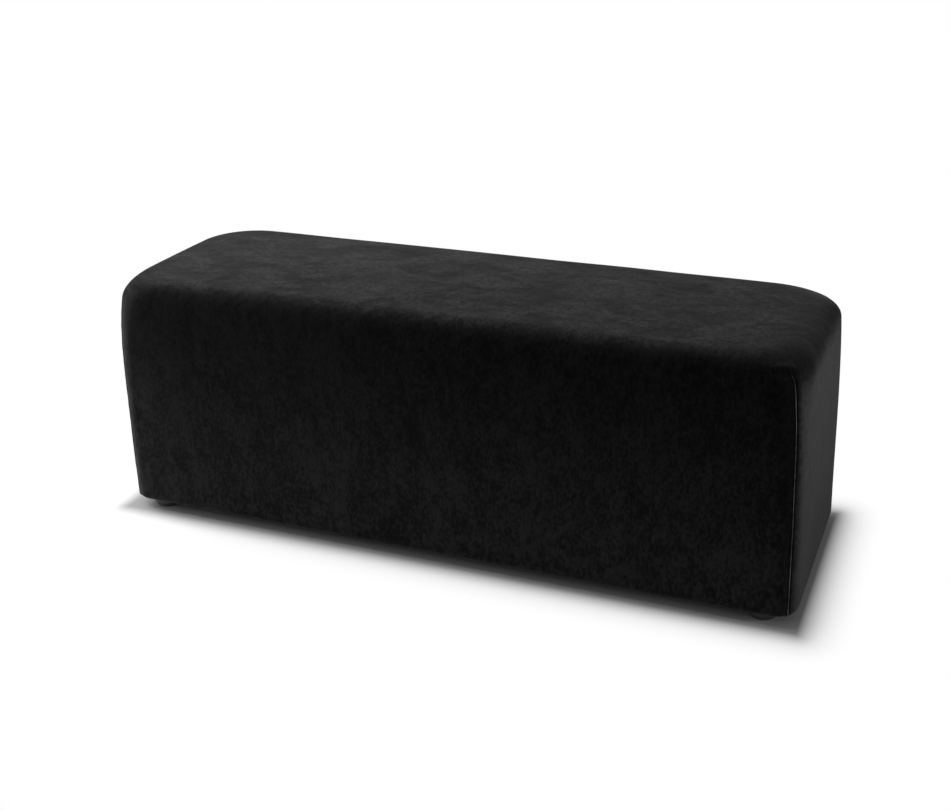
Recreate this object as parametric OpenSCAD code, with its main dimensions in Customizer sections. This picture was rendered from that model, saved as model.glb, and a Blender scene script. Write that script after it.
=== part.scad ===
// Long upholstered bench: a wooden box frame on four round plastic feet, padded with
// foam and wadding and pulled into one velvet cover. Nothing on it moves.
// Millimetres, +Z up, front towards -Y. The origin is on the floor under the middle.

/* [Overall] */
// Length of the bench over its cover
bench_l = 1250; // [1000:10:1600]
// Depth of the bench over its cover
bench_d = 400; // [350:10:500]
// Height of the bench, feet included
bench_h = 450; // [400:10:500]

/* [Frame] */
// Thickness of the front, rear and end panels and of the ribs
panel_t = 12; // [10:1:18]
// Thickness of the seat board
seat_board_t = 15; // [12:1:20]
// Width of the square corner posts
post_w = 40; // [36:1:50]
// Height of the rails
rail_h = 30; // [26:1:36]
// Thickness of the rails
rail_t = 20; // [18:1:26]
// Distance between the two cross ribs
rib_spread = 400; // [340:10:480]
// Rounding of the frame's upright corners
frame_corner_r = 28; // [26:1:30]

/* [Padding] */
// Thickness of the seat foam at its middle
seat_foam_t = 45; // [42:1:60]
// Thickness of the foam on the sides, at its edges
side_foam_t = 10; // [10:1:16]
// Thickness of the wadding
wadding_t = 5; // [3:0.5:7]
// How far the middle of the seat stands above its edges
seat_crown = 4; // [2:1:10]
// How far the middle of each side swells past its edges
side_bulge = 3; // [1:0.5:6]

/* [Cover] */
// Thickness of the velvet
cover_t = 1.5; // [1:0.1:2.5]
// Rounding of the edges round the seat
seat_edge_r = 43; // [30:1:46]
// Rounding of the upright corners
corner_r = 38; // [34:1:42]
// Rounding of the seat's four corners, seen from above
seat_corner_r = 95; // [60:1:100]
// Rounding of the lower edge
lower_edge_r = 9; // [6:0.5:10]
// How far the sewn corner seams stand out
seam_ridge = 1.2; // [0.5:0.1:2]
// How far the turned-under hem laps onto the frame
hem_lap = 18; // [16:0.5:20]

/* [Dust cloth] */
// Thickness of the dust cloth
dust_cloth_t = 0.6; // [0.4:0.1:1]
// Distance from the edge of the frame to the edge of the dust cloth
dust_cloth_inset = 5; // [3:0.5:7]

/* [Feet] */
// Largest diameter of a foot
foot_d = 50; // [44:1:56]
// Diameter of the face that a foot stands on
foot_base_d = 40; // [34:1:42]
// Height of a foot
foot_h = 16; // [14:1:30]
// Distance from the end of the bench to the middle of a foot
foot_inset_x = 60; // [46:0.5:62]
// Distance from the front or rear of the bench to the middle of a foot
foot_inset_y = 40; // [39:0.5:50]
// Thickness of plastic that a foot screw clamps
foot_web = 8; // [6:0.5:9]
// Diameter of the recess that takes a foot screw's head
foot_recess_d = 14; // [12:0.5:18]

/* [Screws] */
// Diameter of the frame screws
screw_d = 4; // [3.5:0.5:5]
// Diameter of the frame screws' countersunk heads
screw_head_d = 8; // [7:0.5:9]
// Length of the screws through the panels
panel_screw_l = 35; // [28:1:40]
// Length of the screws through the rails
rail_screw_l = 28; // [26:1:29]
// Length of the screws through the seat board
seat_screw_l = 38; // [32:1:40]
// Distance from the panels' upper and lower edges to the nearest screws
screw_edge = 60; // [50:1:80]
// Height between the screws that cross in a post
screw_stagger = 25; // [15:1:40]
// Diameter of the foot screws
foot_screw_d = 4.5; // [4:0.5:5]
// Diameter of the foot screws' pan heads
foot_screw_head_d = 9; // [8:0.5:10]
// Length of the foot screws under their heads
foot_screw_l = 35; // [30:1:50]

/* [Staples] */
// Width of a staple
staple_w = 10; // [8:1:12]
// Length of a staple's legs
staple_leg = 8; // [6:1:12]
// Width of the staple wire
staple_wire_w = 1.2; // [1:0.1:1.4]
// Thickness of the staple wire
staple_wire_t = 0.6; // [0.5:0.1:0.8]
// Distance from the edge of the frame to the hem staples
hem_staple_inset = 9; // [8:0.5:10]
// Distance from the edge of the frame to the dust cloth staples
dust_staple_inset = 14; // [13.5:0.5:15]
// Largest distance between two hem staples
hem_staple_pitch = 60; // [40:1:100]
// Largest distance between two dust cloth staples
dust_staple_pitch = 90; // [60:1:140]

/* [Clearances] */
// Gap between soft layers that lie on each other
soft_gap = 0.3; // [0.2:0.05:0.5]
// Gap round a screw in its hole
hole_gap = 0.1; // [0.05:0.05:0.2]

/* [Hidden] */
$fn = 32;

half_l = bench_l / 2;
half_d = bench_d / 2;
// Depth below the outside of the cover at which each layer begins
wadding_depth = cover_t + soft_gap;
foam_depth = wadding_depth + wadding_t + soft_gap;

// The frame
frame_l = bench_l - 2 * (foam_depth + side_foam_t + side_bulge);
frame_d = bench_d - 2 * (foam_depth + side_foam_t + side_bulge);
cover_z = foot_h + dust_cloth_t + staple_wire_t;
frame_z = cover_z + cover_t;
frame_top = bench_h - foam_depth - seat_foam_t;
board_z = frame_top - seat_board_t;
panel_h = board_z - frame_z;
inner_l = frame_l - 2 * panel_t;
inner_d = frame_d - 2 * panel_t;
post_x = inner_l / 2 - post_w / 2;
post_y = inner_d / 2 - post_w / 2;
long_rail_l = inner_l - 2 * post_w;
end_rail_l = inner_d - 2 * post_w;

// Places of the screws
panel_screw_zs = [frame_z + screw_edge, board_z - screw_edge];
end_screw_zs = [frame_z + screw_edge + screw_stagger, board_z - screw_edge - screw_stagger];
long_panel_screw_xs = [-post_x, -rib_spread / 2, rib_spread / 2, post_x];
long_rail_screw_xs = [for (share = [-0.42, -0.1, 0.1, 0.42]) share * long_rail_l];
end_rail_screw_ys = [for (share = [-0.25, 0.25]) share * end_rail_l];
seat_rail_screw_xs = [for (share = [-0.25, 0, 0.25]) share * long_rail_l];
rail_mid_y = inner_d / 2 - rail_t / 2;
bottom_rail_z = frame_z;
top_rail_z = board_z - rail_h;
head_h = (screw_head_d - screw_d) / 2;
recess_w = 0.9;
recess_l = 0.5 * screw_head_d;
recess_depth = 1.6;
foot_head_h = 0.35 * foot_screw_head_d;
foot_x = half_l - foot_inset_x;
foot_y = half_d - foot_inset_y;
foot_seat_z = foot_h - foot_web;
// Height at which a foot is widest, and the bevel round its top
foot_widest_z = 0.6 * foot_h;
foot_bevel = 0.1 * foot_h;
// How far a cut runs on past the face that it opens
cut_past = 1;

// Steps round the soft form: on each corner, each long side and each end
corner_steps = 6;
long_steps = 6;
end_steps = 4;
side_levels = 4;
// Points on one ring
ring_points = 4 * corner_steps + 2 * long_steps + 2 * end_steps;
// How late the upright corners open out on their way up to the seat
corner_opening = 6;
edge_angles = [0, 30, 60, 90];
cover_edge_angles = [22.5, 45, 67.5, 90];
seat_shares = [0.35, 0.7];
side_z = cover_z + lower_edge_r;
edge_z = bench_h - seat_edge_r;

velvet = [0.07, 0.07, 0.075];
plywood = [0.80, 0.66, 0.46];
pine = [0.87, 0.74, 0.52];
foam_tone = [0.93, 0.91, 0.80];
wadding_tone = [0.95, 0.95, 0.95];
dust_cloth_tone = [0.12, 0.12, 0.13];
plastic = [0.05, 0.05, 0.055];
zinc = [0.78, 0.72, 0.50];
steel = [0.70, 0.71, 0.73];

// The soft form
// A point turned by quarter turns about the upright axis
function turned(p, q) = q == 0 ? p : q == 1 ? [-p.y, p.x] : q == 2 ? [-p.x, -p.y] : [p.y, -p.x];

// How much of its swell a side has at u, which runs from -1 to 1 along it
function swell(u) = 1 - pow(abs(u), 4);

// How much the side swells at each of its levels
function level_swell(k) = side_bulge * (1 - pow(abs(2 * k / side_levels - 1), 3));
function level_z(k) = side_z + (frame_top - side_z) * k / side_levels;

// The outline of the form seen from above, counter-clockwise. Each corner's middle
// point stands out by ridge, and each side's middle by bulge.
function outline(ax, ay, r, bulge = 0, ridge = 0) = [
    for (q = [0:3])
        let (long = q % 2 == 0, lx = long ? ax : ay, ly = long ? ay : ax,
            steps = long ? long_steps : end_steps)
        each concat(
            [for (i = [0:corner_steps])
                let (a = 90 * i / corner_steps, out = r + (2 * i == corner_steps ? ridge : 0))
                turned([lx - r + out * cos(a), ly - r + out * sin(a)], q)],
            [for (j = [1:steps - 1])
                let (u = 1 - 2 * j / steps)
                turned([u * (lx - r), ly + bulge * swell(u)], q)]
        )
];

// How far the seat lies below its crown at a point
function fall(p) = seat_crown * (1 - (1 - pow(abs(p.x) / half_l, 6)) * (1 - pow(abs(p.y) / half_d, 2)));

function raised(points, z, share = 0) = [for (p = points) [p.x, p.y, z - share * fall(p)]];

// Rounding of the upright corners at a height
function corner_at(z) =
    corner_r + (seat_corner_r - corner_r) * pow((z - cover_z) / (bench_h - cover_z), corner_opening);

// Rings of the form, depth below its outside: on the sides, round the seat's edge,
// on the seat, round the lower edge and at the hem
function side_ring(depth, k, ridge = 0) = raised(
    outline(half_l - side_bulge - depth, half_d - side_bulge - depth, corner_at(level_z(k)) - depth,
        level_swell(k), ridge),
    level_z(k));

function edge_ring(depth, a, ridge = 0) =
    let (r = seat_edge_r - depth, inset = side_bulge + seat_edge_r - r * cos(a),
        round_r = corner_at(edge_z + seat_edge_r * sin(a)) - depth * cos(a))
    raised(outline(half_l - inset, half_d - inset, round_r, 0, ridge), edge_z + r * sin(a), pow(sin(a), 2));

function seat_ring(depth, share) =
    let (inset = side_bulge + seat_edge_r, ay = (half_d - inset) * (1 - share),
        ax = (half_l - inset) * (1 - share) + (half_l - half_d) * share)
    raised(outline(ax, ay, min(seat_corner_r * (1 - share), 0.95 * ay)), bench_h - depth, 1);

function lower_ring(depth, a, ridge = 0) =
    let (r = lower_edge_r - depth, inset = side_bulge + lower_edge_r - r * cos(a),
        round_r = corner_r - lower_edge_r + r * cos(a))
    raised(outline(half_l - inset, half_d - inset, round_r, 0, ridge), side_z - r * sin(a));

function hem_ring(depth) = raised(
    outline(frame_l / 2 - hem_lap, frame_d / 2 - hem_lap, frame_corner_r - hem_lap), cover_z + depth);

function side_rings(depth, ridge = 0) = [for (k = [0:side_levels]) side_ring(depth, k, ridge)];
function edge_rings(depth) = [for (a = edge_angles) edge_ring(depth, a)];
function seat_rings(depth) = [for (share = seat_shares) seat_ring(depth, share)];
function reversed(list) = [for (i = [len(list) - 1:-1:0]) list[i]];
function crown_point(depth) = [0, 0, bench_h - depth];
function middle(points) =
    [for (axis = [0:2]) let (list = [for (p = points) p[axis]]) (min(list) + max(list)) / 2];

// A closed solid through rings of points, with a fan of triangles at each end. Its
// four-sided fields are split the same way on rising and on falling rings, so that
// layers which lie on each other keep their gap all over.
module ringed_solid(rings, first_point, last_point) {
    n = len(rings[0]);
    m = len(rings);
    polyhedron(
        points = concat([for (ring = rings) each ring], [first_point, last_point]),
        faces = concat(
            [for (k = [0:m - 2], i = [0:n - 1])
                let (a = k * n + i, b = k * n + (i + 1) % n, rising = rings[k + 1][i].z > rings[k][i].z)
                each rising ? [[b, a, a + n], [b, a + n, b + n]] : [[b, a, b + n], [a, a + n, b + n]]],
            [for (i = [0:n - 1]) [m * n, i, (i + 1) % n]],
            [for (i = [0:n - 1]) [m * n + 1, (m - 1) * n + (i + 1) % n, (m - 1) * n + i]]
        ),
        convexity = 6);
}

// Screws and their holes. A screw's head lies in the plane z = 0 and its tip points down.
module screw(l) {
    difference() {
        union() {
            translate([0, 0, -head_h]) cylinder(h = head_h, d1 = screw_d, d2 = screw_head_d);
            translate([0, 0, screw_d - l]) cylinder(h = l - screw_d - head_h, d = screw_d);
            translate([0, 0, -l]) cylinder(h = screw_d, d1 = screw_d / 4, d2 = screw_d);
        }
        for (turn = [0, 90]) rotate([0, 0, turn])
            translate([-recess_l / 2, -recess_w / 2, -recess_depth])
                cube([recess_l, recess_w, recess_depth + cut_past]);
    }
}

module screw_hole(l) {
    translate([0, 0, -head_h])
        cylinder(h = head_h + hole_gap, d1 = screw_d + 2 * hole_gap, d2 = screw_head_d + 4 * hole_gap);
    translate([0, 0, -l - hole_gap]) cylinder(h = l, d = screw_d + 2 * hole_gap);
}

// Places of the screws, with the head's side up. Side is -1 at the front or left.
module at_long_panel_screws(side) {
    for (x = long_panel_screw_xs, z = panel_screw_zs)
        translate([x, side * frame_d / 2, z]) rotate([-90 * side, 0, 0]) children();
}

module at_end_panel_screws(side) {
    for (y = [-post_y, post_y], z = end_screw_zs)
        translate([side * frame_l / 2, y, z]) rotate([0, 90 * side, 0]) children();
}

module at_long_rail_screws(side, z) {
    for (x = long_rail_screw_xs)
        translate([x, side * (inner_d / 2 - rail_t), z + rail_h / 2]) rotate([90 * side, 0, 0]) children();
}

module at_end_rail_screws(side) {
    for (y = end_rail_screw_ys)
        translate([side * (inner_l / 2 - rail_t), y, bottom_rail_z + rail_h / 2])
            rotate([0, -90 * side, 0]) children();
}

module at_seat_screws() {
    for (x = [-post_x, post_x], y = [-post_y, post_y]) translate([x, y, frame_top]) children();
    for (x = seat_rail_screw_xs, y = [-rail_mid_y, rail_mid_y]) translate([x, y, frame_top]) children();
}

module at_feet() {
    for (x = [-foot_x, foot_x], y = [-foot_y, foot_y]) translate([x, y, 0]) children();
}

// The wooden frame
// An upright block with the frame's outline
module frame_block(z, h) {
    translate([0, 0, z]) linear_extrude(h) polygon([
        for (q = [0:3], i = [0:corner_steps])
            let (a = 90 * i / corner_steps, r = frame_corner_r,
                lx = (q % 2 == 0 ? frame_l : frame_d) / 2 - r, ly = (q % 2 == 0 ? frame_d : frame_l) / 2 - r)
            turned([lx + r * cos(a), ly + r * sin(a)], q)
    ]);
}

module long_panel(side) {
    color(plywood) difference() {
        intersection() {
            translate([-frame_l / 2, side > 0 ? frame_d / 2 - panel_t : -frame_d / 2, frame_z])
                cube([frame_l, panel_t, panel_h]);
            frame_block(frame_z, panel_h);
        }
        at_long_panel_screws(side) screw_hole(panel_screw_l);
        for (z = [bottom_rail_z, top_rail_z]) at_long_rail_screws(side, z) screw_hole(rail_screw_l);
    }
}

module end_panel(side) {
    color(plywood) difference() {
        intersection() {
            translate([side > 0 ? frame_l / 2 - panel_t : -frame_l / 2, -inner_d / 2, frame_z])
                cube([panel_t, inner_d, panel_h]);
            frame_block(frame_z, panel_h);
        }
        at_end_panel_screws(side) screw_hole(panel_screw_l);
        at_end_rail_screws(side) screw_hole(rail_screw_l);
    }
}

module seat_board() {
    color(plywood) difference() {
        frame_block(board_z, seat_board_t);
        at_seat_screws() screw_hole(seat_screw_l);
    }
}

module corner_post(side_x, side_y) {
    color(pine) difference() {
        translate([side_x * post_x - post_w / 2, side_y * post_y - post_w / 2, frame_z])
            cube([post_w, post_w, panel_h]);
        for (z = panel_screw_zs) translate([side_x * post_x, side_y * frame_d / 2, z])
            rotate([-90 * side_y, 0, 0]) screw_hole(panel_screw_l);
        for (z = end_screw_zs) translate([side_x * frame_l / 2, side_y * post_y, z])
            rotate([0, 90 * side_x, 0]) screw_hole(panel_screw_l);
        translate([side_x * post_x, side_y * post_y, frame_top]) screw_hole(seat_screw_l);
        translate([side_x * foot_x, side_y * foot_y, 0]) foot_screw_hole();
    }
}

module long_rail(side, z) {
    color(pine) difference() {
        translate([-long_rail_l / 2, side > 0 ? inner_d / 2 - rail_t : -inner_d / 2, z])
            cube([long_rail_l, rail_t, rail_h]);
        at_long_rail_screws(side, z) screw_hole(rail_screw_l);
        for (x = seat_rail_screw_xs)
            translate([x, side * rail_mid_y, frame_top]) screw_hole(seat_screw_l);
    }
}

module end_rail(side) {
    color(pine) difference() {
        translate([side > 0 ? inner_l / 2 - rail_t : -inner_l / 2, -end_rail_l / 2, bottom_rail_z])
            cube([rail_t, end_rail_l, rail_h]);
        at_end_rail_screws(side) screw_hole(rail_screw_l);
    }
}

// A rib fits between the long panels and is notched round the four long rails
module cross_rib(side) {
    notch_t = rail_t + hole_gap;
    notch_h = rail_h + hole_gap;
    color(plywood) difference() {
        translate([side * rib_spread / 2 - panel_t / 2, -inner_d / 2, frame_z])
            cube([panel_t, inner_d, panel_h]);
        for (y = [-inner_d / 2 - cut_past, inner_d / 2 - notch_t],
                z = [frame_z - cut_past, board_z - notch_h])
            translate([side * rib_spread / 2 - panel_t, y, z])
                cube([2 * panel_t, notch_t + cut_past, notch_h + cut_past]);
        for (end = [-1, 1], z = panel_screw_zs)
            translate([side * rib_spread / 2, end * frame_d / 2, z])
                rotate([-90 * end, 0, 0]) screw_hole(panel_screw_l);
    }
}

module panel_screws() {
    color(zinc) for (side = [-1, 1]) {
        at_long_panel_screws(side) screw(panel_screw_l);
        at_end_panel_screws(side) screw(panel_screw_l);
    }
}

module rail_screws() {
    color(zinc) for (side = [-1, 1]) {
        for (z = [bottom_rail_z, top_rail_z]) at_long_rail_screws(side, z) screw(rail_screw_l);
        at_end_rail_screws(side) screw(rail_screw_l);
    }
}

module seat_board_screws() {
    color(zinc) at_seat_screws() screw(seat_screw_l);
}

// The padding
module seat_foam() {
    color(foam_tone) ringed_solid(
        concat([side_ring(foam_depth, side_levels)],
            edge_rings(foam_depth),
            seat_rings(foam_depth)),
        [0, 0, frame_top], crown_point(foam_depth));
}

// A sheet of side foam, glued flat on the frame, from one point of the rings to another.
// Upright sections run along it, from the outside's upper edge down and back up inside.
module side_sheet(first, last) {
    outside = side_rings(foam_depth);
    inside = outline(frame_l / 2, frame_d / 2, frame_corner_r);
    sections = [for (i = [first:last]) let (p = inside[i % len(inside)]) concat(
        [for (k = [side_levels:-1:0]) outside[k][i % len(inside)]],
        [[p.x, p.y, side_z], [p.x, p.y, frame_top]])];
    ringed_solid(sections, middle(sections[0]), middle(sections[last - first]));
}

// The front sheet also covers both corners, and an end sheet lies between two long ones
module long_foam() { color(foam_tone) side_sheet(ring_points / 2, ring_points - end_steps); }
module end_foam() { color(foam_tone) side_sheet(ring_points - end_steps, ring_points); }

module front_foam() { long_foam(); }
module rear_foam() { rotate([0, 0, 180]) long_foam(); }
module right_end_foam() { end_foam(); }
module left_end_foam() { rotate([0, 0, 180]) end_foam(); }

// One sheet over the foam, trimmed short of the lower edge
module wadding() {
    inside = wadding_depth + wadding_t;
    color(wadding_tone) ringed_solid(
        concat(
            reversed(seat_rings(inside)),
            reversed(edge_rings(inside)),
            reversed(side_rings(inside)),
            side_rings(wadding_depth),
            edge_rings(wadding_depth),
            seat_rings(wadding_depth)),
        crown_point(inside), crown_point(wadding_depth));
}

// One piece of velvet, sewn up at its four corners and turned under the frame
module velvet_cover() {
    color(velvet) ringed_solid(
        concat(
            reversed(seat_rings(cover_t)),
            reversed(edge_rings(cover_t)),
            reversed(side_rings(cover_t)),
            [lower_ring(cover_t, 90), hem_ring(cover_t), hem_ring(0)],
            [for (a = [90, 45]) lower_ring(0, a, seam_ridge)],
            side_rings(0, seam_ridge),
            [edge_ring(0, 0, seam_ridge)],
            [for (a = cover_edge_angles) edge_ring(0, a)],
            seat_rings(0)),
        crown_point(cover_t), crown_point(0));
}

// Staples and the cloth under the bench
module staple() {
    translate([-staple_w / 2, -staple_wire_w / 2, -staple_wire_t])
        cube([staple_w, staple_wire_w, staple_wire_t]);
    for (x = [-staple_w / 2, staple_w / 2 - staple_wire_w])
        translate([x, -staple_wire_w / 2, -staple_wire_t])
            cube([staple_wire_w, staple_wire_w, staple_leg + staple_wire_t]);
}

// A row of children evenly spaced over a length, centred, no further apart than pitch
module row(l, pitch) {
    gaps = ceil(l / pitch);
    for (i = [0:gaps]) translate([l * (i / gaps - 0.5), 0, 0]) children();
}

module staple_ring(inset, reach_x, reach_y, pitch, z) {
    for (side = [-1, 1]) {
        translate([0, side * (frame_d / 2 - inset), z]) row(2 * reach_x, pitch) staple();
        translate([side * (frame_l / 2 - inset), 0, z]) rotate([0, 0, 90]) row(2 * reach_y, pitch) staple();
    }
}

module hem_staples() {
    clear = hem_lap + staple_w;
    color(steel) staple_ring(hem_staple_inset, frame_l / 2 - clear, frame_d / 2 - clear,
        hem_staple_pitch, cover_z);
}

module dust_cloth() {
    l = frame_l - 2 * dust_cloth_inset;
    d = frame_d - 2 * dust_cloth_inset;
    color(dust_cloth_tone) difference() {
        translate([-l / 2, -d / 2, foot_h]) cube([l, d, dust_cloth_t]);
        at_feet() foot_screw_hole();
    }
}

module dust_cloth_staples() {
    clear = foot_d / 2 + staple_w;
    reach_x = min(foot_x - clear, long_rail_l / 2 - staple_w);
    reach_y = min(foot_y - clear, end_rail_l / 2 - staple_w);
    color(steel) staple_ring(dust_staple_inset, reach_x, reach_y, dust_staple_pitch, foot_h);
}

// The feet
// The outline of half a foot: a small round at its base and a barrel side
module foot_outline() {
    base_r = foot_base_d / 2;
    side_r = foot_d / 2;
    polygon(concat(
        [[0, 0], [base_r, 0]],
        [for (a = [15:15:90]) [base_r + (side_r - base_r) * sin(a), foot_widest_z * (1 - cos(a))]],
        [[side_r, foot_h - foot_bevel], [side_r - foot_bevel, foot_h], [0, foot_h]]
    ));
}

module foot() {
    color(plastic) difference() {
        rotate_extrude($fn = 64) foot_outline();
        translate([0, 0, -cut_past]) cylinder(h = foot_seat_z + cut_past, d = foot_recess_d);
        foot_screw_hole();
    }
}

module foot_screw_hole() {
    cylinder(h = foot_seat_z + foot_screw_l + hole_gap, d = foot_screw_d + 2 * hole_gap);
}

module foot_screw() {
    translate([0, 0, foot_seat_z]) {
        cylinder(h = foot_screw_l - foot_screw_d, d = foot_screw_d);
        translate([0, 0, foot_screw_l - foot_screw_d])
            cylinder(h = foot_screw_d, d1 = foot_screw_d, d2 = foot_screw_d / 4);
        translate([0, 0, -foot_head_h]) difference() {
            cylinder(h = foot_head_h, d1 = 0.8 * foot_screw_head_d, d2 = foot_screw_head_d);
            for (turn = [0, 90]) rotate([0, 0, turn])
                translate([-recess_l / 2, -recess_w / 2, -cut_past])
                    cube([recess_l, recess_w, recess_depth + cut_past]);
        }
    }
}

module foot_screws() {
    color(zinc) at_feet() foot_screw();
}

long_panel(-1);  // front_panel
long_panel(1);  // rear_panel
end_panel(-1);  // left_end_panel
end_panel(1);  // right_end_panel
seat_board();
corner_post(-1, -1);  // front_left_post
corner_post(1, -1);  // front_right_post
corner_post(-1, 1);  // rear_left_post
corner_post(1, 1);  // rear_right_post
long_rail(-1, top_rail_z);  // front_top_rail
long_rail(1, top_rail_z);  // rear_top_rail
long_rail(-1, bottom_rail_z);  // front_bottom_rail
long_rail(1, bottom_rail_z);  // rear_bottom_rail
end_rail(-1);  // left_bottom_rail
end_rail(1);  // right_bottom_rail
cross_rib(-1);  // left_cross_rib
cross_rib(1);  // right_cross_rib
panel_screws();
rail_screws();
seat_board_screws();
seat_foam();
front_foam();
rear_foam();
left_end_foam();
right_end_foam();
wadding();
velvet_cover();
hem_staples();
dust_cloth();
dust_cloth_staples();
translate([-foot_x, -foot_y, 0]) foot();  // front_left_foot
translate([foot_x, -foot_y, 0]) foot();  // front_right_foot
translate([-foot_x, foot_y, 0]) foot();  // rear_left_foot
translate([foot_x, foot_y, 0]) foot();  // rear_right_foot
foot_screws();
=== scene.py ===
import math

import bmesh
import bpy
import numpy as np
from mathutils import Matrix, Vector, noise
from mathutils.kdtree import KDTree


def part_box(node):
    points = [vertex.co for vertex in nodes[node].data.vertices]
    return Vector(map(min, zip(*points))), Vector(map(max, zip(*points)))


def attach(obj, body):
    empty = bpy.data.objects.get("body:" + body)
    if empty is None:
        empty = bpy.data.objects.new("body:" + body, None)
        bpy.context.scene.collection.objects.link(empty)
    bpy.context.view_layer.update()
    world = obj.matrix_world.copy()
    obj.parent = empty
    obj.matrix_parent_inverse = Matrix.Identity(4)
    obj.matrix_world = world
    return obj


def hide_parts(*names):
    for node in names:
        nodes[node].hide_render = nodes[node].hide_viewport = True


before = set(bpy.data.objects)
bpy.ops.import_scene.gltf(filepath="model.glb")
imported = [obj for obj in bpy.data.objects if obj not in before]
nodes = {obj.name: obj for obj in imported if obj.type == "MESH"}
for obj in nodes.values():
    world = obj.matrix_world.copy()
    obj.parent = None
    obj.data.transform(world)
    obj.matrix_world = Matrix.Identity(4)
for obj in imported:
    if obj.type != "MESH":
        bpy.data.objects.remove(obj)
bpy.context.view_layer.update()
mm = 0.001
print("frame loaded with", len(nodes), "CAD pieces")


# Material maths: one socket of a node tree, so that a sum on it adds its Math nodes
class Wire:
    def __init__(self, tree, socket=None):
        self.tree, self.socket = tree, socket

    def node(self, kind, settings=None, sockets=None, out=0):
        made = self.tree.nodes.new("ShaderNode" + kind)
        for name, value in (settings or {}).items():
            setattr(made, name, value)
        for name, value in (sockets or {}).items():
            if isinstance(value, Wire):
                self.tree.links.new(value.socket, made.inputs[name])
            else:
                made.inputs[name].default_value = value
        return Wire(self.tree, made.outputs[out] if made.outputs else None)

    def sum(self, operation, *values):
        return self.node("Math", {"operation": operation}, dict(enumerate(values)))

    def limited(self, low=0.0, high=1.0):
        return self.node("Clamp", {}, {"Value": self, "Min": low, "Max": high})

    def __add__(self, other): return self.sum("ADD", self, other)
    def __radd__(self, other): return self.sum("ADD", other, self)
    def __sub__(self, other): return self.sum("SUBTRACT", self, other)
    def __rsub__(self, other): return self.sum("SUBTRACT", other, self)
    def __mul__(self, other): return self.sum("MULTIPLY", self, other)
    def __rmul__(self, other): return self.sum("MULTIPLY", other, self)
    def __truediv__(self, other): return self.sum("DIVIDE", self, other)
    def __rtruediv__(self, other): return self.sum("DIVIDE", other, self)
    def __pow__(self, other): return self.sum("POWER", self, other)
    def __rpow__(self, other): return self.sum("POWER", other, self)


def newFinish(name):
    material = bpy.data.materials.new(name)
    material.use_nodes = True
    material.node_tree.nodes.clear()
    start = Wire(material.node_tree)
    return material, start, start.node("TexCoord", out="Object")


def stretched(place, x, y, z):
    return place.node("VectorMath", {"operation": "MULTIPLY"}, {0: place, 1: (x, y, z)})


def speckle(place, size, detail=2.0, rough=0.5, warp=0.0):
    # noise from 0 to 1 whose patches are about size metres across
    return place.node("TexNoise", {}, {"Vector": place, "Scale": 1 / size, "Detail": detail,
                                       "Roughness": rough, "Distortion": warp})


def ramped(value, low, high, first=0.0, last=1.0):
    return value.node("MapRange", {"interpolation_type": "SMOOTHSTEP"}, {
        "Value": value, "From Min": low, "From Max": high, "To Min": first, "To Max": last})


def sizeOf(value):
    return value.node("Math", {"operation": "ABSOLUTE"}, {0: value})


def mixed(share, first, second):
    if not isinstance(first, Wire):
        first = (*first, 1)
    if not isinstance(second, Wire):
        second = (*second, 1)
    return share.node("Mix", {"data_type": "RGBA"}, {0: share, 6: first, 7: second}, 2)


def blended(values, shares):
    first, *others = [value * share for value, share in zip(values, shares)]
    for value in others:
        first = first + value
    return first


def bumped(height, depth, strength=1.0):
    return height.node("Bump", {}, {"Height": height, "Distance": depth, "Strength": strength})


def finished(material, start, sockets):
    shader = start.node("BsdfPrincipled", {}, sockets)
    start.node("OutputMaterial", {}, {"Surface": shader})
    return material


# The bench's own sizes, read from the frame
coverLow, coverHigh = (np.array(corner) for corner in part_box("velvet_cover"))
halfL, halfD, seatTop = coverHigh
underside = coverLow[2]
frameL, frameD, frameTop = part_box("seat_board")[1]
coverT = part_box("front_panel")[0][2] - underside
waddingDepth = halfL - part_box("wadding")[1][0]
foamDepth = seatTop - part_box("seat_foam")[1][2]
layerGap = waddingDepth - coverT

softForm = {
    "seatEdge": 43 * mm,  # rounding of the edges round the seat
    "corner": 38 * mm,  # rounding of the upright corners
    "seatCorner": 95 * mm,  # rounding of the seat's corners, seen from above
    "cornerOpening": 6,  # how late the corners open out on their way up
    "seatRound": (0.95, 0.45),  # how round the rings on the seat are at its rim, and what they lose inwards
    "frameCorner": 28 * mm,  # rounding of the wooden frame's corners
    "lowerEdge": 9 * mm,  # rounding of the lower edge
    "sideIn": 3 * mm,  # how far the sides lie inside the full size before they swell
    "crown": 4 * mm,  # how far the middle of the seat stands above its edges
    "crownPowers": (6, 2),  # how late it falls off lengthways and across
    "swellPowers": (4, 3),  # how late the sides' swell falls off lengthways and upwards
    "hemLap": 18 * mm,  # how far the velvet is turned under the frame
}
sideZ = underside + softForm["lowerEdge"]
edgeZ = seatTop - softForm["seatEdge"]


def cornerAt(z):
    opened = ((z - underside) / (seatTop - underside)) ** softForm["cornerOpening"]
    return softForm["corner"] + (softForm["seatCorner"] - softForm["corner"]) * opened


def ringLayout(corner, long, end, gather=1.0):
    # how many steps a ring of the form has at each corner and side, and how closely they gather
    # in the middle of the corners, where the seams are
    t = np.linspace(-1, 1, corner + 1)
    t = np.sign(t) * np.abs(t) ** gather
    sides = [np.linspace(1, -1, steps + 1)[1:-1] for steps in (long, end)]
    return {"angles": np.radians(45 + 45 * t), "sides": sides}


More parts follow.
